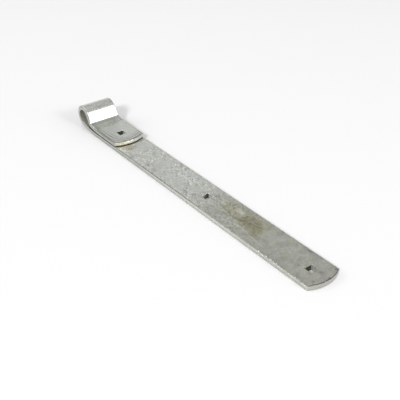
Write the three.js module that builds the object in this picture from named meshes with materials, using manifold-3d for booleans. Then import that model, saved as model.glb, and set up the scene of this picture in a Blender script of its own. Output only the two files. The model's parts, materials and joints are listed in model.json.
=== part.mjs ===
// The leaf of a gate hinge: one galvanised flat bar folded back on itself. The long leg lies
// flat, the bar rolls up into an open eye for a gate pin, and comes back along the long leg as
// a short return leg. Square holes through the legs take carriage bolts.
//
// Millimetres. +X runs from the eye to the far tip, +Z is up, and the back of the long leg
// lies on Z = 0. The origin is the bottom centre of the whole leaf's box.

import * as THREE from 'three';
import { mergeVertices } from 'three/addons/utils/BufferGeometryUtils.js';
import Module from 'manifold-3d';

// The bar
const BAR_WIDTH = 40;
const BAR_THICKNESS = 5.2; // 5 mm bar with 0.1 mm of zinc on each face
const EDGE_ROUND = 0.5; // worn arris along the bar's edges
const LEG_GAP = 0.9; // between the long leg and the return leg

// The eye, seen from the side
const EYE_BORE = 16.6; // clears a 16 mm pin
const EYE_HEIGHT = 17.2; // its axis above the back of the long leg
const RISE_ANGLE = 13.5; // slope at which the long leg sweeps up into the eye
const WALL_LEAN = 20; // lean of the wall that comes down from the eye
const NECK_RADIUS = 10; // to the middle of the bar, where the wall turns into the return leg

// Distances along X from the eye's axis
const LONG_LEG_REACH = 391.4;
const RETURN_LEG_REACH = 75.7;
const HOLE_REACHES = [54.4, 220, 370.7];
const PUNCH_REACH = 210.2;

// Ends, holes and the layout mark
const LONG_TIP_CROWN = 5.6; // how far the curved end stands past its two corners
const RETURN_TIP_CROWN = 5;
const HOLE_SIDE = 8.8;
const HOLE_CORNER = 0.8;
const PUNCH_OFFSET = -8.7; // off the bar's middle line, along Y
const PUNCH_RADIUS = 1.4;
const PUNCH_DEPTH = 0.6;

// Steps along each curve
const RISE_STEPS = 8;
const EYE_STEPS = 40;
const NECK_STEPS = 12;
const TIP_STEPS = 24;
const PUNCH_STEPS = 12;

const CUT_MARGIN = 2; // how far a cutting solid runs past the bar
const MERGE_TOLERANCE = 1e-4;

const HALF_THICKNESS = BAR_THICKNESS / 2;
const EYE_RADIUS = EYE_BORE / 2 + HALF_THICKNESS; // to the middle of the bar
const EYE_OUTER_RADIUS = EYE_BORE / 2 + BAR_THICKNESS;
const EYE_X = (EYE_OUTER_RADIUS - LONG_LEG_REACH) / 2;
const LONG_TIP_X = EYE_X + LONG_LEG_REACH;
const RETURN_TIP_X = EYE_X + RETURN_LEG_REACH;
const RETURN_LEG_LOW = BAR_THICKNESS + LEG_GAP;
const RETURN_LEG_HIGH = RETURN_LEG_LOW + BAR_THICKNESS;

const wasm = await Module();
wasm.setup();

function pointOnCircle(centre, radius, degrees) {
  const angle = THREE.MathUtils.degToRad(degrees);
  return new THREE.Vector2(
    centre.x + radius * Math.cos(angle),
    centre.y + radius * Math.sin(angle),
  );
}

// The middle line of the bar in side view, as arcs joined by straight lines. Each arc starts
// and ends in the direction of its neighbours. side is +1 where the bar's outer face is on
// the far side of the arc from its centre, and -1 where it is on the centre's side.
function middleLineArcs() {
  const riseEnd = 270 - RISE_ANGLE;
  const eyeCentre = new THREE.Vector2(EYE_X, EYE_HEIGHT);
  const eyeStart = pointOnCircle(eyeCentre, EYE_RADIUS, riseEnd);

  // The long leg's sweep rises from the flat leg to where the eye's circle takes over.
  const slope = THREE.MathUtils.degToRad(RISE_ANGLE);
  const riseRadius = (eyeStart.y - HALF_THICKNESS) / (1 - Math.cos(slope));
  const riseCentre = new THREE.Vector2(
    eyeStart.x + riseRadius * Math.sin(slope),
    HALF_THICKNESS + riseRadius,
  );

  // The wall leaves the circle on the eye's leg side, leans outwards as it comes down, and
  // turns into the return leg.
  const lean = THREE.MathUtils.degToRad(WALL_LEAN);
  const wallTop = pointOnCircle(eyeCentre, EYE_RADIUS, WALL_LEAN);
  const neckCentreHeight = RETURN_LEG_LOW + HALF_THICKNESS + NECK_RADIUS;
  const wallBottomHeight = neckCentreHeight - NECK_RADIUS * Math.sin(lean);
  const wallBottomX = wallTop.x + (wallTop.y - wallBottomHeight) * Math.tan(lean);
  const neckCentre = new THREE.Vector2(
    wallBottomX + NECK_RADIUS * Math.cos(lean),
    neckCentreHeight,
  );

  return [
    { centre: riseCentre, radius: riseRadius, from: 270, to: riseEnd, side: 1, steps: RISE_STEPS },
    { centre: eyeCentre, radius: EYE_RADIUS, from: riseEnd, to: WALL_LEAN, side: 1, steps: EYE_STEPS },
    { centre: neckCentre, radius: NECK_RADIUS, from: 180 + WALL_LEAN, to: 270, side: -1, steps: NECK_STEPS },
  ];
}

// One face of the bar in side view: the middle line moved outwards by offset.
function facePoints(arcs, offset) {
  const points = [];
  for (const { centre, radius, from, to, side, steps } of arcs) {
    for (let step = 0; step <= steps; step += 1) {
      const degrees = THREE.MathUtils.lerp(from, to, step / steps);
      const point = pointOnCircle(centre, radius + side * offset, degrees);
      const last = points[points.length - 1];
      if (!last || last.distanceTo(point) > MERGE_TOLERANCE) {
        points.push(point);
      }
    }
  }
  return points;
}

// The whole folded bar, with both legs still square-ended and a little too long.
function foldedBar() {
  const arcs = middleLineArcs();
  const longEnd = LONG_TIP_X + CUT_MARGIN;
  const returnEnd = RETURN_TIP_X + CUT_MARGIN;
  const outline = [
    new THREE.Vector2(longEnd, 0),
    ...facePoints(arcs, HALF_THICKNESS),
    new THREE.Vector2(returnEnd, RETURN_LEG_HIGH),
    new THREE.Vector2(returnEnd, RETURN_LEG_LOW),
    ...facePoints(arcs, -HALF_THICKNESS).reverse(),
    new THREE.Vector2(longEnd, BAR_THICKNESS),
  ];
  const geometry = new THREE.ExtrudeGeometry(new THREE.Shape(outline), {
    depth: BAR_WIDTH - 2 * EDGE_ROUND,
    bevelEnabled: true,
    bevelThickness: EDGE_ROUND,
    bevelSize: EDGE_ROUND,
    bevelOffset: -EDGE_ROUND,
    bevelSegments: 2,
  });
  geometry.rotateX(Math.PI / 2);
  geometry.translate(0, BAR_WIDTH / 2 - EDGE_ROUND, 0);
  return geometry;
}

// Everything past a leg's curved end, between two heights.
function tipCutter(tipX, crown, low, high) {
  const radius = ((BAR_WIDTH / 2) ** 2 + crown ** 2) / (2 * crown);
  const centre = new THREE.Vector2(tipX - radius, 0);
  const halfWidth = BAR_WIDTH / 2 + CUT_MARGIN;
  const halfAngle = THREE.MathUtils.radToDeg(Math.asin(halfWidth / radius));
  const outline = [];
  for (let step = 0; step <= TIP_STEPS; step += 1) {
    const degrees = THREE.MathUtils.lerp(halfAngle, -halfAngle, step / TIP_STEPS);
    outline.push(pointOnCircle(centre, radius, degrees));
  }
  outline.push(new THREE.Vector2(tipX + 2 * CUT_MARGIN, -halfWidth));
  outline.push(new THREE.Vector2(tipX + 2 * CUT_MARGIN, halfWidth));
  const geometry = new THREE.ExtrudeGeometry(new THREE.Shape(outline), {
    depth: high - low,
    bevelEnabled: false,
  });
  geometry.translate(0, 0, low);
  return geometry;
}

// A punched square hole with slightly rounded corners, through both legs' heights.
function squareHoleCutter(x) {
  const inner = HOLE_SIDE / 2 - HOLE_CORNER;
  const shape = new THREE.Shape();
  shape.absarc(inner, inner, HOLE_CORNER, 0, Math.PI / 2);
  shape.absarc(-inner, inner, HOLE_CORNER, Math.PI / 2, Math.PI);
  shape.absarc(-inner, -inner, HOLE_CORNER, Math.PI, 1.5 * Math.PI);
  shape.absarc(inner, -inner, HOLE_CORNER, 1.5 * Math.PI, 2 * Math.PI);
  shape.closePath();
  const geometry = new THREE.ExtrudeGeometry(shape, {
    depth: RETURN_LEG_HIGH + 2 * CUT_MARGIN,
    bevelEnabled: false,
    curveSegments: 2,
  });
  geometry.translate(x, 0, -CUT_MARGIN);
  return geometry;
}

// The centre-punch mark on the long leg's top face: a shallow cone.
function punchCutter() {
  const profile = [
    new THREE.Vector2(0, -PUNCH_DEPTH),
    new THREE.Vector2(PUNCH_RADIUS, 0),
    new THREE.Vector2(PUNCH_RADIUS, CUT_MARGIN),
    new THREE.Vector2(0, CUT_MARGIN),
  ];
  const geometry = new THREE.LatheGeometry(profile, PUNCH_STEPS);
  geometry.rotateX(Math.PI / 2);
  geometry.translate(EYE_X + PUNCH_REACH, PUNCH_OFFSET, BAR_THICKNESS);
  return geometry;
}

function toSolid(geometry) {
  geometry.deleteAttribute('normal');
  geometry.deleteAttribute('uv');
  const merged = mergeVertices(geometry, MERGE_TOLERANCE);
  return new wasm.Manifold(new wasm.Mesh({
    numProp: 3,
    vertProperties: new Float32Array(merged.attributes.position.array),
    triVerts: new Uint32Array(merged.index.array),
  }));
}

function toGeometry(solid) {
  const { vertProperties, triVerts } = solid.getMesh();
  const geometry = new THREE.BufferGeometry();
  geometry.setAttribute('position', new THREE.BufferAttribute(vertProperties, 3));
  geometry.setIndex(new THREE.BufferAttribute(triVerts, 1));
  geometry.computeVertexNormals();
  return geometry;
}

function strapGeometry() {
  const cutters = [
    tipCutter(LONG_TIP_X, LONG_TIP_CROWN, -CUT_MARGIN, BAR_THICKNESS + CUT_MARGIN),
    tipCutter(
      RETURN_TIP_X,
      RETURN_TIP_CROWN,
      BAR_THICKNESS + LEG_GAP / 2,
      RETURN_LEG_HIGH + CUT_MARGIN,
    ),
    ...HOLE_REACHES.map((reach) => squareHoleCutter(EYE_X + reach)),
    punchCutter(),
  ];
  let solid = toSolid(foldedBar());
  for (const cutter of cutters) {
    solid = solid.subtract(toSolid(cutter));
  }
  return toGeometry(solid);
}

const galvanisedSteel = new THREE.MeshStandardMaterial({
  color: 0xa8a9a4,
  roughness: 0.45,
  metalness: 0.85,
});

const strap = new THREE.Mesh(strapGeometry(), galvanisedSteel);
strap.name = 'strap';

const leaf = new THREE.Group();
leaf.add(strap);

export default leaf;
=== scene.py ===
"""Looks for a gate hinge leaf: one galvanised flat bar folded back into an open eye.

The bar is built as its flat blank, with punched square holes, curved ends, worn edges, dents and
pits, and is then bent along the CAD model's arcs. Blank places are (along, across, depth) in
millimetres: along runs from the long leg's tip round the eye to the return leg's tip, across is
the row's Y, and depth is positive towards the outside of the bend.
"""

import json
import math
import random

import bpy
import numpy as np
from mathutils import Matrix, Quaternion, Vector, noise


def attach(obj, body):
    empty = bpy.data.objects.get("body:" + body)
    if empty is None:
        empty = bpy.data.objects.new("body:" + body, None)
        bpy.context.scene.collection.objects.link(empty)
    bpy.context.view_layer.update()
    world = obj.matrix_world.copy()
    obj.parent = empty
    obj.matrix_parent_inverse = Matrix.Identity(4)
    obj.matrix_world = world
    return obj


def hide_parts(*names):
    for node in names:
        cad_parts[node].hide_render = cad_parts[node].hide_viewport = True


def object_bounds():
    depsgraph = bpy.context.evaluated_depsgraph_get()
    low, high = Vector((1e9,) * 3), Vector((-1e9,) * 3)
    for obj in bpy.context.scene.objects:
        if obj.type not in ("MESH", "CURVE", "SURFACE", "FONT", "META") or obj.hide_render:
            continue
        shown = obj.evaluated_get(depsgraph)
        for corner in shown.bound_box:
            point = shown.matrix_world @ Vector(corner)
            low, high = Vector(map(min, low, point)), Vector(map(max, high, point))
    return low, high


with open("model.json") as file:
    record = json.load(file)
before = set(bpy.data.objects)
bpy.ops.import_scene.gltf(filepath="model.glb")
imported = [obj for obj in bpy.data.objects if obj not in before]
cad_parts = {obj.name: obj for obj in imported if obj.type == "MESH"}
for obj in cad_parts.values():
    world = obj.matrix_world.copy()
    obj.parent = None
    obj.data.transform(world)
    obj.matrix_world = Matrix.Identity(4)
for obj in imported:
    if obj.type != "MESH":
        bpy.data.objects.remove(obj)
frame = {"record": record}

MM = 0.001
cad_low, cad_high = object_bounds()
record = frame["record"]
mounts = {mount["name"]: Vector(mount["pos_m"]) / MM for mount in record["mounts"]}
opening_boxes = {opening["name"]: opening["box_m"] for opening in record["physics"]["openings"]}


def opening_centre(name):
    """The middle of one of the record's openings, in millimetres."""
    low_corner, high_corner = (Vector(corner) for corner in opening_boxes[name])
    return (low_corner + high_corner) / 2 / MM


# Sizes from the frame
WIDTH = (cad_high.y - cad_low.y) / MM
LONG_TIP_X = cad_high.x / MM
EYE_X = opening_centre("pin_eye").x
EYE_HEIGHT = opening_centre("pin_eye").z
EYE_OUTER_RADIUS = EYE_X - cad_low.x / MM
EYE_HOLE_X = opening_centre("bolt_hole_eye").x
MIDDLE_HOLE_X = opening_centre("bolt_hole_middle").x
TIP_HOLE_X = opening_centre("bolt_hole_tip").x
RETURN_TOP = mounts["bolt_head_face"].z

# Sizes repeated from the CAD source
THICKNESS = 5.2
RISE_ANGLE = math.radians(13.5)
WALL_LEAN = math.radians(20)
RETURN_REACH = 75.7
LONG_TIP_CROWN = 5.6
RETURN_TIP_CROWN = 5.0
HOLE_SIDE = 8.8
HOLE_CORNER = 0.6

SIDE = WIDTH / 2  # the bar's two sides are at across = SIDE and -SIDE
HALF = THICKNESS / 2  # its outer face is at depth = HALF and its inner face at -HALF
EYE_RADIUS = EYE_OUTER_RADIUS - HALF
RETURN_TIP_X = EYE_X + RETURN_REACH

# The CAD neck is one arc of radius 10. Here it turns tightly at first and then eases out.
NECK_TIGHT = 5.0
NECK_EASY = 60.0
NECK_SPLIT = math.radians(76)  # lean from upright where the first arc gives way to the second


# ---------------- the bar's middle line


def unit(angle):
    return np.array([math.cos(angle), math.sin(angle)])


def left_of(angle):
    return np.array([-math.sin(angle), math.cos(angle)])


def middle_line():
    """The bar's middle line in side view, as stretches (length, turn), from the long leg's tip.

    turn is 0 on a straight stretch, and else the signed radius: negative where the line turns
    clockwise. The places where the stretches meet follow from the arcs being tangent. The
    second result is the X where the return leg starts.
    """
    rise_end = math.radians(270) - RISE_ANGLE
    eye_start = np.array([EYE_X, EYE_HEIGHT]) + EYE_RADIUS * unit(rise_end)
    rise_radius = (eye_start[1] - HALF) / (1 - math.cos(RISE_ANGLE))
    rise_x = eye_start[0] + rise_radius * math.sin(RISE_ANGLE)
    wall_top = np.array([EYE_X, EYE_HEIGHT]) + EYE_RADIUS * unit(WALL_LEAN)
    tight_drop = NECK_TIGHT * (math.sin(NECK_SPLIT) - math.sin(WALL_LEAN))
    tight_run = NECK_TIGHT * (math.cos(WALL_LEAN) - math.cos(NECK_SPLIT))
    easy_drop = NECK_EASY * (1 - math.sin(NECK_SPLIT))
    easy_run = NECK_EASY * math.cos(NECK_SPLIT)
    wall_drop = wall_top[1] - (RETURN_TOP - HALF) - tight_drop - easy_drop
    neck_x = wall_top[0] + wall_drop * math.tan(WALL_LEAN) + tight_run + easy_run
    quarter = math.radians(90)
    stretches = {
        "long_leg": (LONG_TIP_X - rise_x, 0),
        "rise": (rise_radius * RISE_ANGLE, -rise_radius),
        "eye": (EYE_RADIUS * (rise_end - WALL_LEAN), -EYE_RADIUS),
        "wall": (wall_drop / math.cos(WALL_LEAN), 0),
        "neck": (NECK_TIGHT * (NECK_SPLIT - WALL_LEAN), NECK_TIGHT),
        "neck_out": (NECK_EASY * (quarter - NECK_SPLIT), NECK_EASY),
        "return_leg": (RETURN_TIP_X - neck_x, 0),
    }
    return stretches, neck_x


STRETCHES, NECK_X = middle_line()
STARTS = dict(zip(STRETCHES, np.cumsum([0] + [length for length, _ in STRETCHES.values()])))
TOTAL = STARTS["return_leg"] + STRETCHES["return_leg"][0]


def along_long_leg(x):
    return LONG_TIP_X - x


def along_return_leg(x):
    return STARTS["return_leg"] + x - NECK_X


def bend(along, depth):
    """x and z of blank points, bent along the middle line."""
    x, z = np.zeros_like(along), np.zeros_like(along)
    point = np.array([LONG_TIP_X, HALF])
    heading = math.pi
    for name, (length, turn) in STRETCHES.items():
        start = STARTS[name]
        after = (along >= start) | (name == "long_leg")
        before = (along < start + length) | (name == "return_leg")
        here = after & before
        run = along[here] - start
        if turn == 0:
            angle = np.full_like(run, heading)
            middle_x = point[0] + run * math.cos(heading)
            middle_z = point[1] + run * math.sin(heading)
            point = point + length * unit(heading)
        else:
            centre = point + turn * left_of(heading)
            angle = heading + run / turn
            middle_x = centre[0] + turn * np.sin(angle)
            middle_z = centre[1] - turn * np.cos(angle)
            heading = heading + length / turn
            point = centre - turn * left_of(heading)
        x[here] = middle_x - np.sin(angle) * depth[here]
        z[here] = middle_z + np.cos(angle) * depth[here]
    return x, z


# ---------------- the flat blank

EDGE_ROUND = 0.7
EDGE_STEPS = 4
EDGE_MARGIN = 0.35  # a narrow strip of faces along each edge of a face
SIDE_STEPS = 6
CELL = 1.15  # the mesh's usual step on the bar's faces
FINE_CELL = 0.55  # its step round the neck
HOLE_PATCH = 6.0  # half the side of the square of faces remade round a hole
HOLE_CELLS = 10


def steps_between(low, high, size):
    count = max(1, round(abs(high - low) / size))
    return list(np.linspace(low, high, count + 1))


def join_steps(*runs):
    joined = list(runs[0])
    for run in runs[1:]:
        joined += list(run)[1:]
    return joined


FACE_EDGE = SIDE - EDGE_ROUND
MARGIN_EDGE = FACE_EDGE - EDGE_MARGIN
ACROSS = join_steps(
    [-FACE_EDGE, -MARGIN_EDGE],
    steps_between(-MARGIN_EDGE, -HOLE_PATCH, CELL),
    list(np.linspace(-HOLE_PATCH, HOLE_PATCH, HOLE_CELLS + 1)),
    steps_between(HOLE_PATCH, MARGIN_EDGE, CELL),
    [MARGIN_EDGE, FACE_EDGE],
)


def cross_section():
    """The bar's rounded section, as (across, depth, normal across, normal depth), closed.

    It goes over the outer face, down the +Y side, back under the inner face and up the -Y side.
    """
    points = [(y, HALF, 0, 1) for y in ACROSS]
    side_low = HALF - EDGE_ROUND
    down = np.linspace(side_low, -side_low, SIDE_STEPS + 1)

    def corner(y, depth, first, last):
        for step in range(1, EDGE_STEPS):
            a = math.radians(first + (last - first) * step / EDGE_STEPS)
            c, s = math.cos(a), math.sin(a)
            points.append((y + EDGE_ROUND * c, depth + EDGE_ROUND * s, c, s))

    corner(FACE_EDGE, side_low, 90, 0)
    points.extend((SIDE, depth, 1, 0) for depth in down)
    corner(FACE_EDGE, -side_low, 0, -90)
    points.extend((y, -HALF, 0, -1) for y in reversed(ACROSS))
    corner(-FACE_EDGE, -side_low, -90, -180)
    points.extend((-SIDE, depth, -1, 0) for depth in reversed(down))
    corner(-FACE_EDGE, side_low, 180, 90)
    return np.array(points)


# The section's lines are numbered from the outer face's edge at -Y.
SECTION = cross_section()
FACE_LINES = len(ACROSS)
PLUS_SIDE = FACE_LINES + EDGE_STEPS - 1  # the first line on the +Y side
INNER_FIRST = PLUS_SIDE + SIDE_STEPS + EDGE_STEPS  # the inner face's line at +Y
MINUS_SIDE = INNER_FIRST + FACE_LINES + EDGE_STEPS - 1  # the first line on the -Y side


def face_line(j, face):
    """The section index of face line j, counted from -Y, on the outer (1) or inner (-1) face."""
    return j if face > 0 else INNER_FIRST + FACE_LINES - 1 - j


def face_cell(i, k):
    """The cell (station, face line, face) of a station and a section line, off the edges."""
    if k < FACE_LINES - 1:
        return (i, k, 1)
    if INNER_FIRST <= k < INNER_FIRST + FACE_LINES - 1:
        return (i, INNER_FIRST + FACE_LINES - 2 - k, -1)
    return None


def crown_sag(across, crown):
    """How far a curved end falls back from its apex, at a place across the bar."""
    radius = (SIDE**2 + crown**2) / (2 * crown)
    return radius - np.sqrt(radius**2 - across**2)


class Blank:
    """The flat blank as points and faces. Holes and dents are patches cut into its faces."""

    def __init__(self):
        self.points = []
        self.faces = []
        self.removed = set()

    def add(self, points):
        first = len(self.points)
        self.points.extend(tuple(map(float, p)) for p in points)
        return list(range(first, len(self.points)))

    def band(self, ring_a, ring_b, flip=False):
        """Faces between two rings. flip turns their normals round."""
        count = len(ring_a)
        for k in range(count):
            n = (k + 1) % count
            face = (ring_a[k], ring_b[k], ring_b[n], ring_a[n])
            self.faces.append(face[::-1] if flip else face)

    def fan(self, ring, centre, flip):
        """Faces from a ring to one point in its middle."""
        (tip,) = self.add([centre])
        for k in range(len(ring)):
            face = (ring[k], tip, ring[(k + 1) % len(ring)])
            self.faces.append(face[::-1] if flip else face)

    def step_to(self, ring, outline, depth, flip):
        """Faces from a ring to an outline at one depth. Gives the outline's own ring."""
        inner_ring = self.add(np.column_stack([outline, np.full(len(outline), depth)]))
        self.band(ring, inner_ring, flip)
        return inner_ring


def long_tip_blend(along):
    """How much a station follows the long tip's curve: 1 at the tip, 0 from the far hole on."""
    end = along_long_leg(TIP_HOLE_X) - HOLE_PATCH
    return np.clip((end - along) / (end - EDGE_ROUND), 0, 1)


def return_tip_blend(along):
    end = along_return_leg(EYE_HOLE_X) + HOLE_PATCH
    return np.clip((along - end) / (TOTAL - EDGE_ROUND - end), 0, 1)


# Hole centres along the blank, each with the face that it was punched from
LONG_LEG_HOLES = [along_long_leg(x) for x in (TIP_HOLE_X, MIDDLE_HOLE_X, EYE_HOLE_X)]
RETURN_LEG_HOLE = along_return_leg(EYE_HOLE_X)
HOLES = [(centre, -1) for centre in LONG_LEG_HOLES] + [(RETURN_LEG_HOLE, 1)]


def station_steps():
    """Places along the blank where the section is repeated, with steps that meet each hole."""
    runs = []
    last = EDGE_ROUND
    for hole, _ in HOLES:
        low, high = hole - HOLE_PATCH, hole + HOLE_PATCH
        for name in list(STRETCHES)[1:]:
            if last < STARTS[name] < low:
                size = FINE_CELL if name == "neck_out" else CELL
                runs.append(steps_between(last, STARTS[name], size))
                last = STARTS[name]
        runs.append(steps_between(last, low, CELL))
        runs.append(list(np.linspace(low, high, HOLE_CELLS + 1)))
        last = high
    runs.append(steps_between(last, TOTAL - EDGE_ROUND, CELL))
    return np.array(join_steps(*runs))


def curved_station(along):
    """The section at a place along the blank, its points moved to follow the curved ends."""
    across, depth = SECTION[:, 0], SECTION[:, 1]
    shift = crown_sag(across, LONG_TIP_CROWN) * long_tip_blend(along)
    shift = shift - crown_sag(across, RETURN_TIP_CROWN) * return_tip_blend(along)
    return np.column_stack([along + shift, across, depth])


def end_cap(blank, ring, end, crown, inward):
    """Rounds the bar's edge over at one end and closes it. inward points back along the bar."""
    for step in range(1, EDGE_STEPS + 1):
        a = math.radians(90 * step / EDGE_STEPS)
        inset = EDGE_ROUND * (1 - math.cos(a))
        back = EDGE_ROUND * (1 - math.sin(a))
        section = SECTION[:, :2] - inset * SECTION[:, 2:]
        along = end + inward * (back + crown_sag(section[:, 0], crown))
        rounded = blank.add(np.column_stack([along, section]))
        blank.band(ring, rounded, inward > 0)
        ring = rounded
    rows = [[ring[face_line(j, 1)] for j in range(FACE_LINES)]]
    for step in range(1, SIDE_STEPS):
        left = ring[MINUS_SIDE + SIDE_STEPS - step]
        right = ring[PLUS_SIDE + step]
        depth = blank.points[right][2]
        between = [(end + inward * crown_sag(y, crown), y, depth) for y in ACROSS[1:-1]]
        rows.append([left, *blank.add(between), right])
    rows.append([ring[face_line(j, -1)] for j in range(FACE_LINES)])
    for upper, lower in zip(rows, rows[1:]):
        for j in range(FACE_LINES - 1):
            face = (upper[j], upper[j + 1], lower[j + 1], lower[j])
            blank.faces.append(face if inward > 0 else face[::-1])


# ---------------- holes and dents


def square_outline(centre, half, corner, count):
    """A rounded square's points, in the order of a patch's edge: count on each side."""
    straight = 0.6  # the share of a side's points that lie on its straight part
    points = []
    for side in range(4):
        turn = side * math.pi / 2
        c, s = math.cos(turn), math.sin(turn)
        for k in range(count):
            u = -1 + 2 * k / count
            if abs(u) <= straight:
                a, b = half, u / straight * (half - corner)
            else:
                swing = (abs(u) - straight) / (1 - straight) * math.pi / 4
                a = half - corner + corner * math.cos(swing)
                b = math.copysign(half - corner + corner * math.sin(swing), u)
            points.append((centre + a * c - b * s, a * s + b * c))
    return np.array(points)


def circle_outline(centre, radius, count):
    """A circle's points, in the order of a patch's edge: count on each side of the patch."""
    turns = np.radians([-45 + 90 * k / count for k in range(4 * count)])
    return np.column_stack([centre[0] + radius * np.cos(turns), centre[1] + radius * np.sin(turns)])


class Skin:
    """The blank's two faces as grids of cells, from which patches are cut."""

    def __init__(self, blank):
        self.blank = blank
        self.stations = station_steps()
        self.rings = [blank.add(curved_station(along)) for along in self.stations]

    def nearest(self, along, across):
        """The grid lines nearest to a place."""
        i = int(np.argmin(abs(self.stations - along)))
        j = int(np.argmin(abs(np.array(ACROSS) - across)))
        return i, j

    def patch_edge(self, i0, j0, cells, face):
        """The points round a square patch, side by side from its (+along, -across) corner."""
        i1, j1 = i0 + cells, j0 + cells
        edge = [(i1, j) for j in range(j0, j1)]
        edge += [(i, j1) for i in range(i1, i0, -1)]
        edge += [(i0, j) for j in range(j1, j0, -1)]
        edge += [(i, j0) for i in range(i0, i1)]
        return [self.rings[i][face_line(j, face)] for i, j in edge]

    def cut_patch(self, i0, j0, cells, face):
        """Leaves a patch's own cells out, and gives the ring of points round it."""
        span = range(cells)
        self.blank.removed |= {(i0 + a, j0 + b, face) for a in span for b in span}
        return self.patch_edge(i0, j0, cells, face)

    def clear(self, i0, j0, cells, face):
        """Whether a patch lies inside the face and touches no other patch."""
        i1, j1 = i0 + cells, j0 + cells
        inside = j0 >= 1 and j1 <= FACE_LINES - 2 and i0 >= 1 and i1 <= len(self.stations) - 2
        around = {(i, j, face) for i in range(i0 - 1, i1 + 1) for j in range(j0 - 1, j1 + 1)}
        return inside and not around & self.blank.removed

    def cover(self):
        """Faces between the stations, apart from the cells that patches have replaced."""
        for i, (ring, onward) in enumerate(zip(self.rings, self.rings[1:])):
            for k in range(len(SECTION)):
                if face_cell(i, k) not in self.blank.removed:
                    n = (k + 1) % len(SECTION)
                    self.blank.faces.append((ring[k], onward[k], onward[n], ring[n]))


LIP_ENTRY = 0.32
LIP_EXIT = 0.15
POOLED = 1.0  # how much narrower each side of a hole is where zinc has pooled at its far face
POOL_START = 0.3  # the share of the hole's depth where that begins
LIP_SHARES = (0.6, 0.25, 0.0)  # rings on the face, from the patch's edge in to the lip
WALL_SHARES = (0.2, 0.4, 0.55, 0.75)  # rings down the wall


def punch_hole(skin, centre, entry):
    """A square hole punched from the face named by entry, with a rolled lip and a rough exit."""
    blank = skin.blank
    i0, j0 = skin.nearest(centre - HOLE_PATCH, -HOLE_PATCH)

    def outline(extra):
        return square_outline(centre, HOLE_SIDE / 2 + extra, HOLE_CORNER + extra, HOLE_CELLS)

    def lip(face, radius, wider):
        ring = skin.cut_patch(i0, j0, HOLE_CELLS, face)
        edge = np.array([blank.points[k][:2] for k in ring])
        mouth = outline(radius + wider)
        for share in LIP_SHARES:
            ring = blank.step_to(ring, mouth * (1 - share) + edge * share, face * HALF, face > 0)
        for step in range(1, EDGE_STEPS + 1):
            a = math.radians(90 * step / EDGE_STEPS)
            depth = face * (HALF - radius * (1 - math.cos(a)))
            ring = blank.step_to(ring, outline(wider + radius * (1 - math.sin(a))), depth, face > 0)
        return ring

    ring = lip(entry, LIP_ENTRY, 0)
    exit_ring = lip(-entry, LIP_EXIT, -POOLED)
    for share in WALL_SHARES:
        depth = entry * (HALF - LIP_ENTRY - share * (THICKNESS - LIP_ENTRY - LIP_EXIT))
        wider = -POOLED * max(0, share - POOL_START) / (1 - POOL_START)
        ring = blank.step_to(ring, outline(wider), depth, entry > 0)
    blank.band(ring, exit_ring, entry > 0)


def dent(skin, centre, face, cells, profile):
    """A round mark pressed into a face. profile lists (radius, depth below the face)."""
    i, j = skin.nearest(*centre)
    i0, j0 = i - cells // 2, j - cells // 2
    if not skin.clear(i0, j0, cells, face):
        return
    ring = skin.cut_patch(i0, j0, cells, face)
    for radius, low in profile:
        depth = face * (HALF - low)
        if radius == 0:
            skin.blank.fan(ring, (*centre, depth), face > 0)
        else:
            ring = skin.blank.step_to(ring, circle_outline(centre, radius, cells), depth, face > 0)


# The punch mark, as (radius, depth below the face) from its rim in
PUNCH_PLACE = (along_long_leg(20.3), -9.0)
PUNCH_PROFILE = [(2.4, 0), (1.9, 0.04), (1.5, 0.3), (1.15, 0.34), (0.8, 0.12), (0.4, 0.03), (0, 0.02)]
PUNCH_CELLS = 6

# Pits near the far hole, as (x, y), and the number strewn over the back face
TOP_PITS = [(160.6, -6.7), (171.9, -5.4), (194.0, -11.6), (199.5, 3.2), (157.3, 16.4), (151.8, 14.6)]
BACK_PITS = 24
PIT_CELLS = 4


def press_pits(skin):
    draw = random.Random(4)
    places = [(along_long_leg(x), y, -1) for x, y in TOP_PITS]
    for _ in range(BACK_PITS):
        places.append((draw.uniform(8, STARTS["rise"]), draw.uniform(-18, 18), 1))
    for along, across, face in places:
        size = draw.uniform(0.45, 0.8)
        deep = draw.uniform(0.12, 0.26)
        profile = [(size * 1.7, 0), (size, deep * 0.45), (size * 0.5, deep * 0.9), (0, deep)]
        dent(skin, (along, across), face, PIT_CELLS, profile)


def build_blank():
    blank = Blank()
    skin = Skin(blank)
    for centre, entry in HOLES:
        punch_hole(skin, centre, entry)
    dent(skin, PUNCH_PLACE, -1, PUNCH_CELLS, PUNCH_PROFILE)
    press_pits(skin)
    skin.cover()
    end_cap(blank, skin.rings[0], 0, LONG_TIP_CROWN, 1)
    end_cap(blank, skin.rings[-1], TOTAL, RETURN_TIP_CROWN, -1)
    return merged(blank)


def merged(blank):
    """The blank's points and faces, with coincident points made one and unused ones left out."""
    points = np.array(blank.points)
    rounded = np.round(points, 4)
    _, first, where = np.unique(rounded, axis=0, return_index=True, return_inverse=True)
    where = where.ravel()
    faces = []
    for face in blank.faces:
        corners = list(dict.fromkeys(int(where[k]) for k in face))
        if len(corners) > 2:
            faces.append(corners)
    used = sorted({k for face in faces for k in face})
    renumbered = {old: new for new, old in enumerate(used)}
    return points[first[used]], [[renumbered[k] for k in face] for face in faces]


# ---------------- wear and bending

BRIDGE_PLACE = (along_return_leg(-150), -19.4)  # where zinc has run across the gap
BRIDGE_REACH = (1.5, 1.0)  # along and across
BRIDGE_HEIGHT = 0.62
SEAM_DEPTH = 0.8  # a rolling seam along the bar's sides


def fractal(x, y, z, octaves):
    return noise.fractal((x, y, z), 1.0, 2.0, octaves)


def smooth(low, high, value):
    t = np.clip((value - low) / (high - low), 0, 1)
    return t * t * (3 - 2 * t)


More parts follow.
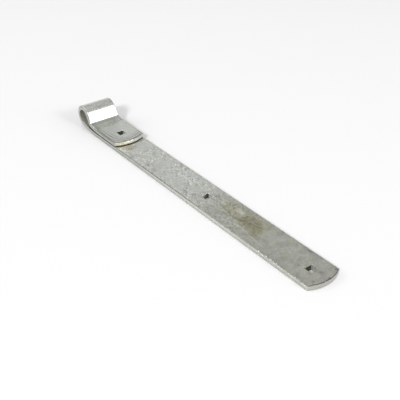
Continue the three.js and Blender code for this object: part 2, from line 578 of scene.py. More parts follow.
def bridge(along, across, depth):
    a = (along - BRIDGE_PLACE[0]) / BRIDGE_REACH[0]
    b = (across - BRIDGE_PLACE[1]) / BRIDGE_REACH[1]
    return BRIDGE_HEIGHT * math.exp(-(a**2) - b**2) if depth < -1.5 else 0.0


def nicks(along, across, depth):
    """How deep the bar's edges are nicked at a blank point."""
    near_edge = math.exp(-(((SIDE - abs(across)) / 1.1) ** 2))
    nick = noise.noise((along / 4.2, across * 0.7, depth * 0.35 + 9))
    return 0.35 * near_edge * max(0, nick - 0.32)


def side_relief(along, across, depth):
    """The rolled seam and the rough texture of the bar's sides."""
    groove = math.exp(-(((depth - SEAM_DEPTH) / 0.5) ** 2))
    return 0.04 * noise.noise((along / 2.1, depth / 1.3, across)) - 0.03 * groove


def unevenness(point):
    """How far the surface stands proud at a blank point, in millimetres."""
    along, across, depth = point
    height = 0.05 * fractal(along / 38, across / 16, depth / 9, 3)
    height += 0.018 * fractal(along / 6 + 40, across / 5, depth / 4, 2)
    height -= nicks(along, across, depth)
    if abs(across) > SIDE - 0.3:
        height += side_relief(along, across, depth)
    return height + bridge(along, across, depth)


def eye_flare(along, across, depth):
    """The rolled eye sits a little askew, with its edges drawn in outside the bend."""
    bent = smooth(STARTS["eye"] - 3, STARTS["eye"] + 5, along)
    bent *= 1 - smooth(STARTS["wall"] - 2, STARTS["neck"], along)
    near_edge = (np.abs(across) / SIDE) ** 7
    flare = -0.4 * near_edge * (depth / HALF * 1.1 + 0.3) * np.sign(across)
    skew = -0.35 - 0.6 * smooth(-SIDE, SIDE, across)
    return bent * (flare + skew)


def return_leg_droop(along):
    """The return leg closes onto the long leg towards its tip."""
    share = smooth(STARTS["return_leg"] - 4, TOTAL, along)
    return (0.12 + 0.43 * share) * smooth(STARTS["neck"], STARTS["return_leg"], along)


def build_bar():
    points, faces = build_blank()
    along, across, depth = points.T
    x, z = bend(along, depth)
    places = np.column_stack([x, across + eye_flare(along, across, depth), z - return_leg_droop(along)])
    mesh = bpy.data.meshes.new("strap_bar")
    mesh.from_pydata(places.tolist(), [], faces)
    mesh.update()
    normals = np.zeros(len(points) * 3)
    mesh.vertices.foreach_get("normal", normals)
    proud = np.array([unevenness(point) for point in points])
    places += normals.reshape(-1, 3) * proud[:, None]
    mesh.vertices.foreach_set("co", (places * MM).astype(np.float32).ravel())
    attribute = mesh.attributes.new("blank", "FLOAT_VECTOR", "POINT")
    attribute.data.foreach_set("vector", points.astype(np.float32).ravel())
    mesh.update()
    for polygon in mesh.polygons:
        polygon.use_smooth = True
    bar = bpy.data.objects.new("strap_bar", mesh)
    bpy.context.scene.collection.objects.link(bar)
    return bar


# ---------------- materials


class Tree:
    """Short calls for wiring the nodes of a material or a world."""

    def __init__(self, owner):
        owner.use_nodes = True
        self.tree = owner.node_tree
        self.tree.nodes.clear()

    def node(self, kind, **settings):
        made = self.tree.nodes.new(kind)
        for name, value in settings.items():
            setattr(made, name, value)
        return made

    def feed(self, socket, value):
        if isinstance(value, bpy.types.NodeSocket):
            self.tree.links.new(value, socket)
        else:
            socket.default_value = value

    def plug(self, made, **values):
        """Feeds a node's inputs by name."""
        for name, value in values.items():
            self.feed(made.inputs[name], value)

    def math(self, operation, *values):
        made = self.node("ShaderNodeMath", operation=operation)
        for socket, value in zip(made.inputs, values):
            self.feed(socket, value)
        return made.outputs[0]

    def ramp(self, value, low, high, to_low=0.0, to_high=1.0):
        made = self.node("ShaderNodeMapRange", interpolation_type="SMOOTHSTEP")
        for socket, number in zip(made.inputs, (value, low, high, to_low, to_high)):
            self.feed(socket, number)
        return made.outputs[0]

    def mix(self, factor, a, b, blend="MIX"):
        made = self.node("ShaderNodeMix", data_type="RGBA", blend_type=blend)
        colour_a, colour_b = made.inputs[6:8]
        self.feed(made.inputs[0], factor)
        self.feed(colour_a, a)
        self.feed(colour_b, b)
        return made.outputs[2]

    def bump(self, height, strength, distance):
        made = self.node("ShaderNodeBump")
        self.plug(made, Strength=strength, Distance=distance, Height=height)
        return made.outputs[0]

    def finish(self, surface, kind="ShaderNodeOutputMaterial"):
        self.feed(self.node(kind).inputs["Surface"], surface)

    def times(self, *values):
        result = values[0]
        for value in values[1:]:
            result = self.math("MULTIPLY", result, value)
        return result

    def largest(self, *values):
        result = values[0]
        for value in values[1:]:
            result = self.math("MAXIMUM", result, value)
        return result

    def plus(self, a, b):
        return self.math("ADD", a, b)

    def minus(self, a, b):
        return self.math("SUBTRACT", a, b)

    def size(self, value):
        return self.math("ABSOLUTE", value)

    def length(self, a, b):
        return self.math("SQRT", self.plus(self.times(a, a), self.times(b, b)))

    def without(self, *masks):
        """What is left of 1 when the product of the masks is taken away."""
        return self.minus(1.0, self.times(*masks))

    def between(self, value, low, high, soft):
        up = self.ramp(value, low - soft, low + soft)
        down = self.ramp(value, high - soft, high + soft, 1.0, 0.0)
        return self.times(up, down)


EYE_HALF_ZINC = (0.606, 0.622, 0.580, 1)
TIP_HALF_ZINC = (0.452, 0.460, 0.406, 1)
# The sides' own zinc, painted lighter than the faces as painted light for the light the sides catch.
SIDE_ZINC_AND_PAINTED_LIGHT = (0.68, 0.685, 0.638, 1)
PALE_ZINC = (0.74, 0.74, 0.68, 1)
# Near-white specks on the near side: worn zinc with painted glints.
GLINT_AND_WORN_ZINC = (0.97, 0.97, 0.92, 1)
END_ZINC = (0.58, 0.578, 0.555, 1)
END_ZINC_NEAR = (0.60, 0.592, 0.53, 1)
# The inside of the eye, painted dark as painted shade.
BORE_PAINTED_SHADE = (0.21, 0.21, 0.175, 1)
# Brown rust beside the return leg's tip, with painted shade.
BROWN_RUST_AND_SHADE = (0.30, 0.270, 0.180, 1)
# Rust, painted darker as painted shade.
RUST_WITH_PAINTED_SHADE = (0.28, 0.26, 0.19, 1)
# A dark colour painted along the edges.
EDGE_DARK = (0.12, 0.115, 0.095, 1)
# Near-black painted shade, for the gap between the legs and for hole walls in shadow.
GAP_SHADE = (0.03, 0.028, 0.022, 1)

# Tints multiply the colour below them.
BLUE_TINT = (1.03, 1.05, 1.09, 1)
VIOLET_TINT = (1.0, 0.985, 1.015, 1)
OLIVE_TINT = (0.985, 0.997, 0.94, 1)
OLIVE_WASH = (0.86, 0.83, 0.68, 1)
BROWN_WASH = (0.64, 0.58, 0.46, 1)

# Marks on the long leg's top, as (x, y, reach along X, reach across, strength)
OLIVE_MARKS = [
    (64, 8, 14, 10, 0.6), (58, 8, 7, 11, 0.7), (62, -2, 14, 4, 0.6), (104, -14, 14, 4, 0.4),
    (180, -3, 18, 9, 0.5), (-95, -10, 9, 7, 0.5), (-52, -8, 9, 7, 0.5), (105, 15, 14, 4, 0.7),
]
# Rust by the return leg's tip, painted darker as painted shade.
RUST_AND_SHADE_MARKS = [(-110, -7, 8, 13, 1.0), (-106, -8, 9, 9, 0.8)]
BLUE_MARKS = [
    (-79, 8, 7, 6, 0.5), (-40, 12, 9, 5, 0.8), (-31, 6, 8, 5, 0.8), (-20, 9, 9, 6, 0.8),
    (-16, 1, 6, 4, 0.6), (-93, -7, 6, 4, 0.8), (123, 2, 9, 9, 0.6), (140, 10, 20, 6, 0.6),
    (162, 14, 14, 4, 0.6), (178, 16, 10, 4, 0.6), (188, -10, 6, 4, 0.6),
]
DARK_MARKS = [
    (-60, -13, 6, 3, 0.7), (-47, -13, 5, 3, 0.7), (9, -12, 5, 3, 0.8), (5, -7, 4, 2.5, 0.7),
    (37, 8, 6, 4, 0.5), (42, 2, 6, 3, 0.5), (163, 17.5, 5, 2.0, 0.7), (156, 17, 3, 1.6, 0.7),
    (171, -5.4, 2, 1.5, 0.8), (195, -12, 2.5, 2, 0.9), (196, 17.5, 3, 3, 1.0),
    (177, 18.5, 3, 1.5, 0.6), (190, 3, 4, 3.5, 0.5), (186, -6.5, 3, 1.5, 0.5),
    (200.8, 3.5, 2.2, 2, 1.0),
]
PALE_MARKS = [(75, 9, 8, 4.5, 0.9), (69, 11, 4, 2, 0.6), (107, 12, 4, 2, 0.3), (92, -9, 5, 2, 0.4)]

# Patches of the stain, as (corners (x, y) anticlockwise, softness, strength)
OLIVE_PATCHES = [
    ([(50, 4), (66, -4), (92, -8), (118, -10), (119, 8), (110, 18), (84, 18), (54, 14)], 5.0, 0.75),
]
BROWN_PATCHES = [
    ([(80, -1), (90, -6), (108, -6), (114, -1), (111, 8), (103, 13), (92, 14), (84, 9)], 2.0, 0.62),
    ([(92, -6), (112, -10.5), (118, -9), (112, -2), (100, 0)], 1.4, 0.5),
    ([(82, 0), (90, -4), (97, -1), (106, 5), (106, 9), (96, 7), (85, 4)], 1.6, 0.5),
]

# Streaks on the long leg's top, as (x and y of both ends, width, strength)
PALE_STREAKS = [
    (44, 0.2, 78, -4.8, 0.8, 0.35), (78, -4.8, 93, -8.1, 0.9, 0.5), (93, -8.1, 110, -10.5, 1.1, 0.7),
    (110, -10.5, 132, -12.8, 1.1, 0.7), (132, -12.8, 142, -12.5, 0.8, 0.4),
    (-80, 9.7, -76, 12.8, 0.9, 0.8), (-71, 7.3, -63, 8.9, 0.9, 0.8), (-84, 2, -79, 6, 0.8, 0.6),
    (181, 5.5, 185.5, 1.5, 0.7, 0.6), (184, 6, 188, 2.5, 0.6, 0.5),
]
DARK_STREAKS = [
    (47, 3, 67, -1.9, 2.2, 0.65), (67, -1.9, 79, -2.7, 2.4, 0.75), (79, -2.7, 87, -0.9, 2.4, 0.8),
    (87, -0.9, 97, 3.5, 2.2, 0.8), (97, 3.5, 108, 5.5, 1.8, 0.7),
    (54, 1.7, 58, 7.4, 1.8, 0.5), (58, 7.4, 61, 14.7, 1.8, 0.5),
    (183, 3.5, 187, 0.5, 0.8, 0.8), (184.5, 5, 188.5, 1.6, 0.7, 0.5),
    (194.5, -11.8, 198.8, -14.6, 1.0, 0.9),
    (-86.3, -0.4, -88.6, 8, 0.9, 0.7), (-88.6, 8, -88.8, 17.3, 0.9, 0.6),
]

RIPPLE_PERIOD = 3.7
RIPPLE_CORNER = 20.0  # how softly the ripples turn the return leg's corners
PUNCH_RING = 1.7  # the radius of the punch mark's dark ring


class Zinc(Tree):
    """The galvanised bar's paint, laid coat by coat over self.colour in blank places."""

    def __init__(self, material):
        super().__init__(material)
        self.place = self.node("ShaderNodeAttribute", attribute_name="blank").outputs["Vector"]
        split = self.node("ShaderNodeSeparateXYZ")
        self.feed(split.inputs[0], self.place)
        self.along, self.across, self.depth = split.outputs
        self.x = self.minus(LONG_TIP_X, self.along)
        self.wide = self.size(self.across)
        self.high = self.size(self.depth)
        self.patchy = self.noise(0.16, 4, 0.62, 0.3)
        self.grain = self.noise(0.5, 4, 0.66, 0.8)
        self.find_regions()

    def find_regions(self):
        """Masks for the faces, the sides and the curled part, and the distance from an edge."""
        self.inner = self.ramp(self.depth, -HALF + 0.35, -HALF + 0.1)
        self.outer = self.ramp(self.depth, HALF - 0.35, HALF - 0.1)
        before_eye = self.ramp(self.along, STARTS["eye"], STARTS["rise"])
        self.long_top = self.times(self.inner, before_eye)
        past_neck = self.ramp(self.along, STARTS["neck"], STARTS["return_leg"] + 2)
        self.return_top = self.times(self.outer, past_neck)
        self.curled = self.between(self.along, STARTS["eye"] - 4, STARTS["return_leg"], 4)
        at_side = self.ramp(self.wide, SIDE - 0.5, SIDE - 0.15)
        self.side = self.times(at_side, self.ramp(self.high, HALF - 0.2, HALF - 0.7))
        # How far the curved ends have fallen back from their apex, in crowns
        self.bow = self.times(self.across, self.across, 1 / SIDE**2)
        long_end = self.minus(self.along, self.times(self.bow, LONG_TIP_CROWN))
        ends = self.math("MINIMUM", long_end, self.return_end(RETURN_TIP_CROWN))
        self.edge = self.math("MINIMUM", self.minus(SIDE, self.wide), ends)

    def return_end(self, crown):
        """How far a point is from the return leg's curved end."""
        return self.minus(self.minus(TOTAL, self.along), self.times(self.bow, crown))

    def noise(self, scale, detail, rough, distortion=0.0, offset=(0, 0, 0), squash=(1, 1, 1)):
        """Noise in blank places. offset keeps one coat's pattern apart from another's."""
        moved = self.node("ShaderNodeMapping")
        self.plug(moved, Vector=self.place, Scale=squash, Location=offset)
        made = self.node("ShaderNodeTexNoise")
        self.plug(made, Vector=moved.outputs[0], Scale=scale, Detail=detail)
        self.plug(made, Roughness=rough, Distortion=distortion)
        return made.outputs["Fac"]

    def worms(self, scale, offset, width):
        """Thin wandering lines, where a slow noise crosses its middle value."""
        slow = self.noise(scale, 2.5, 0.6, 0.9, offset)
        return self.ramp(self.size(self.minus(slow, 0.5)), width, width * 0.2)

    def x_ramp(self, x0, x1, at_x0=0.0, at_x1=1.0):
        """A smooth change along the long leg, between two places in X."""
        return self.ramp(self.along, along_long_leg(x0), along_long_leg(x1), at_x0, at_x1)

    def ragged(self, value, amount):
        return self.plus(value, self.times(self.minus(self.patchy, 0.5), amount))

    # Ways to lay a coat. Masks are multiplied.

    def paint(self, colour, *masks):
        self.colour = self.mix(self.times(*masks), self.colour, colour)

    def tint(self, colour, *masks):
        self.paint(self.mix(1.0, self.colour, colour, "MULTIPLY"), *masks)

    def dimmed(self, colour, factor):
        grey = self.node("ShaderNodeCombineColor")
        for socket in grey.inputs:
            self.feed(socket, factor)
        return self.mix(1.0, colour, grey.outputs[0], "MULTIPLY")

    def level(self, factor):
        self.colour = self.dimmed(self.colour, factor)

    def darken(self, *masks):
        self.level(self.without(*masks))

    def vary(self, noise_value, *amounts):
        self.level(self.plus(1.0, self.times(self.minus(noise_value, 0.5), *amounts)))

    # Marks on the long leg's top

    def patches(self, outlines, ragged):
        """Ragged convex patches, as one mask."""
        spots = []
        for corners, soft, strength in outlines:
            insides = []
            for (x0, y0), (x1, y1) in zip(corners, corners[1:] + corners[:1]):
                run = math.hypot(x1 - x0, y1 - y0)
                a, b = (y0 - y1) / run, (x1 - x0) / run
                from_edge = self.plus(self.times(self.x, a), self.times(self.across, b))
                insides.append(self.minus(from_edge, a * x0 + b * y0))
            inside = insides[0]
            for other in insides[1:]:
                inside = self.math("MINIMUM", inside, other)
            inside = self.ragged(inside, ragged * soft)
            spots.append(self.times(self.ramp(inside, -soft, soft), strength))
        return self.times(self.largest(*spots), self.long_top)

    def marks(self, places, ragged, soft):
        """Ragged soft-edged spots, as one mask."""
        spots = []
        for x, y, long, wide, strength in places:
            a = self.math("DIVIDE", self.minus(self.along, along_long_leg(x)), long)
            b = self.math("DIVIDE", self.minus(self.across, y), wide)
            reach = self.ragged(self.length(a, b), ragged)
            spots.append(self.times(self.ramp(reach, 1 - soft, 1, 1.0, 0.0), strength))
        return self.times(self.largest(*spots), self.long_top)

    def streaks(self, places):
        """Thin ragged lines, as one mask."""
        lines = []
        for x0, y0, x1, y1, width, strength in places:
            run_a, run_b = x0 - x1, y1 - y0
            squared = run_a**2 + run_b**2
            a = self.minus(self.along, along_long_leg(x0))
            b = self.minus(self.across, y0)
            share = self.plus(self.times(a, run_a / squared), self.times(b, run_b / squared))
            share = self.math("MINIMUM", self.math("MAXIMUM", share, 0.0), 1.0)
            off_a = self.minus(a, self.times(share, run_a))
            off_b = self.minus(b, self.times(share, run_b))
            off = self.size(self.ragged(self.length(off_a, off_b), 2.0))
            lines.append(self.times(self.ramp(off, 0.1, width, 1.0, 0.0), strength))
        return self.times(self.largest(*lines), self.long_top)


def lay_zinc(z):
    """The eye half of the bar is coarse and pale, and the tip half is smoother and olive."""
    coarse = z.ramp(z.ragged(z.along, 60), along_long_leg(75), along_long_leg(5))
    z.colour = z.mix(coarse, TIP_HALF_ZINC, EYE_HALF_ZINC)
    # The sides are painted a lighter zinc, partly as painted light for the light they catch, and darker
    # towards the eye.
    z.paint(SIDE_ZINC_AND_PAINTED_LIGHT, z.side, z.x_ramp(-90, 0, 0.3, 1.0), z.x_ramp(140, 80, 0.72, 1.0))
    z.darken(z.side, z.x_ramp(-40, -70, 0, 0.12))
    return coarse


def tint_zinc(z):
    """Drifts of blue, violet and olive."""
    drift = z.times(z.ramp(z.noise(0.05, 3, 0.55), 0.55, 0.75, 0, 0.7), z.without(z.curled))
    z.tint(BLUE_TINT, z.largest(z.marks(BLUE_MARKS, 1.6, 0.7), drift))
    hue = z.noise(0.12, 3, 0.6, 0.5, offset=(31, 7, 0))
    z.tint(VIOLET_TINT, z.ramp(hue, 0.48, 0.66))
    z.tint(OLIVE_TINT, z.ramp(hue, 0.50, 0.34))


def speckle_zinc(z):
    """Grain, blotches and fine lines, strongest on the eye half of the long leg."""
    rougher = z.ramp(z.noise(0.06, 3, 0.6, offset=(5, 19, 0)), 0.36, 0.6, 0.45, 1.25)
    calmer = z.without(z.largest(z.curled, z.side, z.return_top), 0.7)
    lively = z.ramp(z.ragged(z.along, 30), along_long_leg(118), along_long_leg(80))
    z.vary(z.grain, z.ramp(lively, 0, 1, 0.75, 1.9), rougher, calmer)
    blotch = z.noise(0.1, 3, 0.55, 0.8, offset=(9, 50, 0), squash=(1, 0.8, 1))
    z.vary(blotch, z.ramp(lively, 0, 1, 0.75, 0.3), calmer)
    lined = z.times(z.ramp(lively, 0, 1, 0.25, 1.0), z.ramp(rougher, 0.45, 1.25, 0.3, 1.0), calmer)
    light_lines = z.times(z.worms(0.14, (0, 0, 0), 0.05), lined, 0.2)
    dark_lines = z.times(z.worms(0.12, (40, 13, 0), 0.045), lined, 0.25)
    z.level(z.minus(z.plus(1.0, light_lines), dark_lines))
    rolled = z.noise(1, 3, 0.6, squash=(0.35, 0.03, 0.1))
    z.vary(rolled, z.curled, z.outer, 0.7)


def stain_long_leg(z):
    """Olive and brown stains past the middle hole, and rust under the return leg's tip, painted darker
    as painted shade.
    """
    olive = z.largest(z.marks(OLIVE_MARKS, 0.9, 0.9), z.patches(OLIVE_PATCHES, 2.0))
    z.tint(OLIVE_WASH, olive, 0.8)
    uneven = z.ramp(z.noise(0.28, 3, 0.6, offset=(2, 70, 0)), 0.38, 0.6, 0.5, 1.15)
    z.tint(BROWN_WASH, z.patches(BROWN_PATCHES, 4.5), uneven)
    # Rust by the return leg's tip, painted darker as painted shade.
    z.paint(RUST_WITH_PAINTED_SHADE, z.marks(RUST_AND_SHADE_MARKS, 1.2, 0.9), 0.9)
    broken = z.times(z.streaks(DARK_STREAKS), z.ramp(z.grain, 0.42, 0.58, 0.35, 1.0))
    z.darken(z.largest(z.marks(DARK_MARKS, 1.4, 0.8), broken), 0.42)
    pale = z.largest(z.streaks(PALE_STREAKS), z.marks(PALE_MARKS, 1.0, 0.7))
    z.paint(PALE_ZINC, pale, 0.5)
    return olive, pale


def ring_punch_mark(z):
    reach = z.length(z.minus(z.along, PUNCH_PLACE[0]), z.minus(z.across, PUNCH_PLACE[1]))
    inner_half = z.ramp(z.depth, -0.5, -1.0)
    z.darken(z.ramp(z.size(z.minus(reach, PUNCH_RING)), 0.9, 0.3), inner_half, 0.42)
    z.paint(PALE_ZINC, z.ramp(reach, 1.1, 0.5), inner_half, 0.8)


def ripple_return_leg(z):
    """Drained ripples that follow the return leg's outline round its near corner."""
    near_side = z.plus(z.across, SIDE)
    outline = z.math("SMOOTH_MIN", near_side, z.return_end(RETURN_TIP_CROWN * 1.6), RIPPLE_CORNER)
    wave = z.math("SINE", z.times(z.ragged(outline, 2.0), 2 * math.pi / RIPPLE_PERIOD))
    near_tip = z.ramp(z.along, STARTS["return_leg"] + 2, STARTS["return_leg"] + 24)
    ripple = z.times(z.ramp(wave, -0.1, 0.8), z.ramp(outline, 12.0, 5.0), z.return_top, near_tip)
    z.darken(ripple, z.ramp(z.grain, 0.42, 0.56, 0.5, 1.0), 0.65)
    # Painted shade on the return leg's top along its near edge, towards the neck.
    z.darken(z.ramp(z.across, -13, -19), z.return_top, z.without(near_tip), 0.16)


def shade_neck(z):
    """Painted reflections: the neck is darker, then lighter where it eases out. The sides are painted
    darker along the gap, towards their top, as painted shade.
    """
    # Painted reflections on the neck's outer face: a darker band, then a lighter one.
    painted_dark_reflection = z.between(z.along, along_return_leg(-174), along_return_leg(-168), 1.5)
    painted_bright_reflection = z.between(z.along, along_return_leg(-166), along_return_leg(-153), 2.5)
    painted_bright_reflection = z.times(painted_bright_reflection, z.ramp(z.across, 12, 4), z.ramp(z.across, -17, -13))
    brighter = z.plus(1.0, z.times(painted_bright_reflection, z.outer, 0.14))
    z.level(z.minus(brighter, z.times(painted_dark_reflection, z.outer, 0.10)))
    # The return leg's sides are painted darker towards their top as painted shade.
    painted_shade_side = z.between(z.along, STARTS["neck_out"], TOTAL - 10, 6)
    z.darken(z.side, painted_shade_side, z.ramp(z.depth, -0.8, 1.2), 0.3)


def dim_edges(z):
    """Faces dim a little towards their edges, and the rolled seam is dirty."""
    z.darken(z.ramp(z.ragged(z.edge, 2.5), 3.2, 0.4), 0.08)
    seam = z.ramp(z.size(z.minus(z.depth, SEAM_DEPTH)), 0.6, 0.2)
    broken = z.ramp(z.grain, 0.42, 0.58, 0.1, 1.0)
    z.darken(seam, z.ramp(z.edge, 0.8, 0.2), broken, z.x_ramp(60, 0, 0.2, 0.5))


def paint_ends(z):
    """The bar's two curved ends, cut clean."""
    on_end = z.times(z.ramp(z.wide, SIDE - 0.4, SIDE - 1), z.ramp(z.edge, 0.35, 0.1))
    ends = z.times(on_end, z.ramp(z.high, HALF - 0.3, HALF - 0.6))
    zinc = z.mix(z.ramp(z.across, -12, -4), END_ZINC_NEAR, END_ZINC)
    z.paint(z.dimmed(zinc, z.ramp(z.along, 10, 20, 0.82, 1.0)), ends)
    return ends


def darken_arris(z):
    """A dark line along the worn edges, chipped and heavy at the long leg's tip."""
    corner = z.times(z.ramp(z.edge, 1.15, 0.15), z.ramp(z.high, HALF - 0.95, HALF - 0.15))
    arris = z.times(z.ramp(z.ragged(corner, 0.4), 0.25, 0.6), z.without(z.curled, 0.6))
    near_side = z.times(z.ramp(z.across, 0, -18), z.long_top, z.x_ramp(20, 60))
    arris = z.times(arris, z.without(near_side, 0.65))
    heavy = z.largest(z.between(z.across, -16, 4.5, 1.5), z.ramp(z.across, 16.5, 18.5))
    at_tip = z.ramp(z.edge, z.plus(1.0, z.times(heavy, 1.1)), 0.5)
    chipped = z.times(at_tip, z.ramp(z.along, 7, 5), z.inner)
    arris = z.largest(arris, z.times(z.ramp(z.ragged(chipped, 1.2), 0.35, 0.7), 1.15))
    bare = z.ramp(z.noise(1, 2, 0.5, offset=(3, 3, 3), squash=(0.5, 0.8, 0.8)), 0.60, 0.68)
    arris = z.times(arris, z.without(bare, z.ramp(z.along, 60, 25)))
    # A dark line is painted along the edges here.
    z.paint(EDGE_DARK, arris, 0.82)
    return arris


def glint_specks_near_side(z):
    """Bright specks low on the near side, towards the tip: worn zinc with painted glints."""
    specks_and_glints = z.ramp(z.noise(1, 1, 0.5, offset=(60, 0, 0), squash=(0.5, 0.5, 0.5)), 0.57, 0.62)
    low_side = z.times(z.ramp(z.across, -19.2, -19.7), z.ramp(z.depth, 0.5, -0.5))
    # Near-white specks: worn zinc, partly painted glints.
    z.paint(GLINT_AND_WORN_ZINC, specks_and_glints, low_side, z.x_ramp(110, 140), 0.8)


def paint_gap_shade(z):
    """Brown rust beside the return leg's tip, with painted shade, and painted black shade in the gap
    between the two legs.
    """
    past_tip = z.minus(z.along, along_long_leg(RETURN_TIP_X))
    past_tip = z.minus(past_tip, z.times(z.bow, RETURN_TIP_CROWN))
    at_tip = z.ramp(z.ragged(past_tip, 4.0), -5.5, -1.0)
    # Brown rust on the long leg beside the return leg's tip, with the shade there painted in too.
    z.paint(BROWN_RUST_AND_SHADE, at_tip, z.long_top, z.ramp(z.across, 19, 0, 0.25, 0.85))
    past_eye = z.ramp(z.along, STARTS["eye"], STARTS["eye"] + 1)
    folded = z.largest(z.ramp(past_tip, 0.3, 1.6), past_eye)
    at_bridge = z.ramp(z.size(z.minus(z.along, BRIDGE_PLACE[0])), 2.2, 1.2)
    no_bridge = z.without(at_bridge, z.ramp(z.across, -17.5, -18.5))
    facing = z.ramp(z.depth, -HALF + 0.6, -HALF + 0.2)
    # The gap's facing sides are painted near-black as painted shade.
    z.paint(GAP_SHADE, folded, facing, z.without(z.curled), no_bridge, 0.92)


def paint_holes(z):
    """The holes' walls are streaked and dull, and on the side towards the eye painted black as painted
    shade.
    """
    walls, painted_shade_walls, lips = [], [], []
    in_wall = z.ramp(z.high, HALF - 0.2, HALF - 0.4)
    at_face = z.ramp(z.high, HALF - 0.45, HALF - 0.25)
    for centre, entry in HOLES:
        off = z.minus(z.along, centre)
        reach = z.minus(z.largest(z.size(off), z.wide), HOLE_SIDE / 2)
        wall = z.times(z.ramp(reach, 0.6, 0.4), in_wall)
        facing = z.minus(z.times(off, -entry), z.wide)
        if centre == along_long_leg(MIDDLE_HOLE_X):
            # Here the painted black shade runs across the hole from its far corner to its near, deep
            # one.
            facing = z.plus(facing, z.ramp(z.across, 1.0, 3.0, 0.0, 1.3))
            slant = z.plus(z.depth, z.times(z.across, 0.7))
            shadow = z.times(z.ramp(facing, -0.3, 0.1), z.ramp(slant, -2.2, 0.2, 0.15, 0.95))
        else:
            shadow = z.ramp(facing, -0.3, 0.1)
        walls.append(wall)
        painted_shade_walls.append(z.times(wall, shadow))
        lips.append(z.times(z.ramp(z.ragged(reach, 1.0), 0.75, 0.3), at_face))
    wall = z.largest(*walls)
    streaked = z.ramp(z.noise(1, 3, 0.7, squash=(0.75, 0.75, 0.12)), 0.40, 0.58, 0.35, 0.9)
    z.darken(wall, z.ramp(z.along, STARTS["eye"], STARTS["return_leg"], 0.6, 1.0), streaked)
    # Walls in shadow are painted near-black as painted shade.
    z.paint(GAP_SHADE, z.largest(*painted_shade_walls))
    z.darken(z.largest(*lips), 0.25)
    return wall


def paint_bore_shade(z):
    # The inside of the eye is painted dark zinc as painted shade.
    shaded_bore = z.times(z.inner, z.between(z.along, STARTS["eye"] - 12, STARTS["return_leg"], 6))
    z.paint(z.dimmed(BORE_PAINTED_SHADE, z.ramp(z.grain, 0.3, 0.7, 0.75, 1.2)), shaded_bore)
    return shaded_bore


def galvanised_steel():
    material = bpy.data.materials.new("galvanised_steel")
    z = Zinc(material)
    coarse = lay_zinc(z)
    tint_zinc(z)
    speckle_zinc(z)
    olive, pale = stain_long_leg(z)
    ring_punch_mark(z)
    ripple_return_leg(z)
    shade_neck(z)
    dim_edges(z)
    ends = paint_ends(z)
    arris = darken_arris(z)
    glint_specks_near_side(z)
    paint_gap_shade(z)
    walls = paint_holes(z)
    shaded_bore = paint_bore_shade(z)

    shader = z.node("ShaderNodeBsdfPrincipled")
    z.feed(shader.inputs["Base Color"], z.colour)
    z.plug(shader, Metallic=z.without(z.largest(z.times(shaded_bore, 0.75), z.times(walls, 0.7))))
    rough = z.minus(z.ramp(z.grain, 0.3, 0.7, 0.30, 0.42), z.times(z.curled, 0.13))
    rough = z.plus(rough, z.times(z.largest(arris, olive, walls, ends), 0.12))
    z.plug(shader, Roughness=z.plus(rough, z.times(shaded_bore, 0.4)))
    relief = z.plus(z.grain, z.times(z.noise(1.3, 3, 0.7), 0.35))
    calm = z.times(z.ramp(coarse, 0, 1, 0.35, 1.0), z.without(z.curled, 0.8))
    relief = z.minus(z.times(relief, calm), z.times(pale, 0.25))
    z.plug(shader, Normal=z.bump(relief, 0.5, 0.25 * MM))
    z.finish(shader.outputs[0])
    return material


# ---------------- stage, lights and camera

FLOOR_COLOUR = (0.585, 0.585, 0.585, 1)
FLOOR_REACH = 2.2
FLOOR_DROP = 0.0002

# The studio's brightness by height, from the horizon (0) to overhead (1)
SKY = [(0.08, 1.0), (0.40, 0.86), (0.48, 0.79), (0.56, 0.67), (0.64, 0.58), (0.77, 0.70), (1.0, 0.58)]

# Soft lamps, as (name, place, target, width, height, radiance, roll in degrees)
LAMPS = [
    ("overhead", (0.1, -0.6, 3.3), (0, 0, 0), 1.6, 1.6, 1.9, 0),
    ("window", (4.505, 2.656, 2.12), (-0.19, 0, 0.86), 0.93, 4.35, 5.2, -12),
    ("side", (5.03, 0.87, 2.75), (-0.19, 0, 0), 0.9, 0.9, 48.0, 0),
    ("key", (3.59, -6.14, 5.0), (-0.1, 0, 0), 1.4, 1.4, 98.0, 0),
    ("fill", (-3.7, -3.3, 3.4), (0, 0, 0), 2.6, 2.6, 4.5, 0),
]

CAMERA_AZIMUTH = math.radians(52.18)
CAMERA_ELEVATION = math.radians(33.43)
CAMERA_DISTANCE = 0.718
CAMERA_TARGET = Vector((0.0257, -0.0054, 0))
CAMERA_LENS = 61.66
CAMERA_SENSOR = 36


def floor_material():
    material = bpy.data.materials.new("floor")
    tree = Tree(material)
    shader = tree.node("ShaderNodeBsdfDiffuse")
    tree.plug(shader, Color=FLOOR_COLOUR)
    tree.finish(shader.outputs[0])
    return material


def add_floor():
    corners = [(-1, -1), (1, -1), (1, 1), (-1, 1)]
    height = cad_low.z - FLOOR_DROP
    mesh = bpy.data.meshes.new("floor")
    points = [(x * FLOOR_REACH, y * FLOOR_REACH, height) for x, y in corners]
    mesh.from_pydata(points, [], [(0, 1, 2, 3)])
    floor = bpy.data.objects.new("floor", mesh)
    floor.data.materials.append(floor_material())
    bpy.context.scene.collection.objects.link(floor)


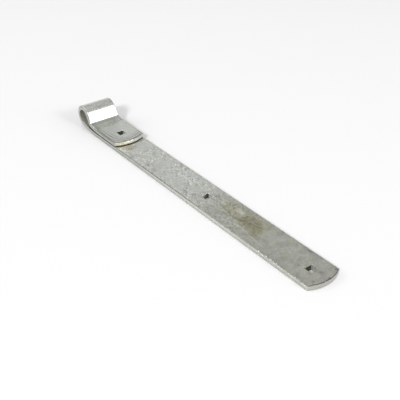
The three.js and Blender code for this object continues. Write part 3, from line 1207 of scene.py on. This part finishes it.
def add_lamp(name, place, target, width, height, radiance, roll):
    data = bpy.data.lights.new(name, "AREA")
    data.shape = "RECTANGLE"
    data.size = width
    data.size_y = height
    data.energy = radiance * math.pi * width * height
    lamp = bpy.data.objects.new(name, data)
    lamp.location = place
    facing = (Vector(target) - Vector(place)).to_track_quat("-Z", "Y")
    lamp.rotation_euler = (facing @ Quaternion((0, 0, 1), math.radians(roll))).to_euler()
    lamp.visible_camera = False
    bpy.context.scene.collection.objects.link(lamp)


def add_world():
    world = bpy.data.worlds.new("studio")
    tree = Tree(world)
    split = tree.node("ShaderNodeSeparateXYZ")
    tree.feed(split.inputs[0], tree.node("ShaderNodeTexCoord").outputs["Generated"])
    ramp = tree.node("ShaderNodeValToRGB")
    tree.feed(ramp.inputs[0], split.outputs[2])
    stops = ramp.color_ramp.elements
    while len(stops) < len(SKY):
        stops.new(0.5)
    for stop, (height, level) in zip(stops, SKY):
        stop.position = height
        stop.color = (level, level, level, 1)
    background = tree.node("ShaderNodeBackground")
    tree.plug(background, Color=ramp.outputs[0])
    tree.finish(background.outputs[0], "ShaderNodeOutputWorld")
    bpy.context.scene.world = world


def add_camera():
    back = Vector((
        math.sin(CAMERA_AZIMUTH) * math.cos(CAMERA_ELEVATION),
        -math.cos(CAMERA_AZIMUTH) * math.cos(CAMERA_ELEVATION),
        math.sin(CAMERA_ELEVATION),
    ))
    data = bpy.data.cameras.new("camera")
    data.lens = CAMERA_LENS
    data.sensor_width = CAMERA_SENSOR
    camera = bpy.data.objects.new("camera", data)
    camera.location = CAMERA_TARGET + back * CAMERA_DISTANCE
    camera.rotation_euler = (-back).to_track_quat("-Z", "Y").to_euler()
    bpy.context.scene.collection.objects.link(camera)
    bpy.context.scene.camera = camera


add_camera()
add_world()
for lamp_settings in LAMPS:
    add_lamp(*lamp_settings)
add_floor()
bpy.context.scene.view_settings.view_transform = "Standard"

bar = build_bar()
bar.data.materials.append(galvanised_steel())
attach(bar, "root")
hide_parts("strap")
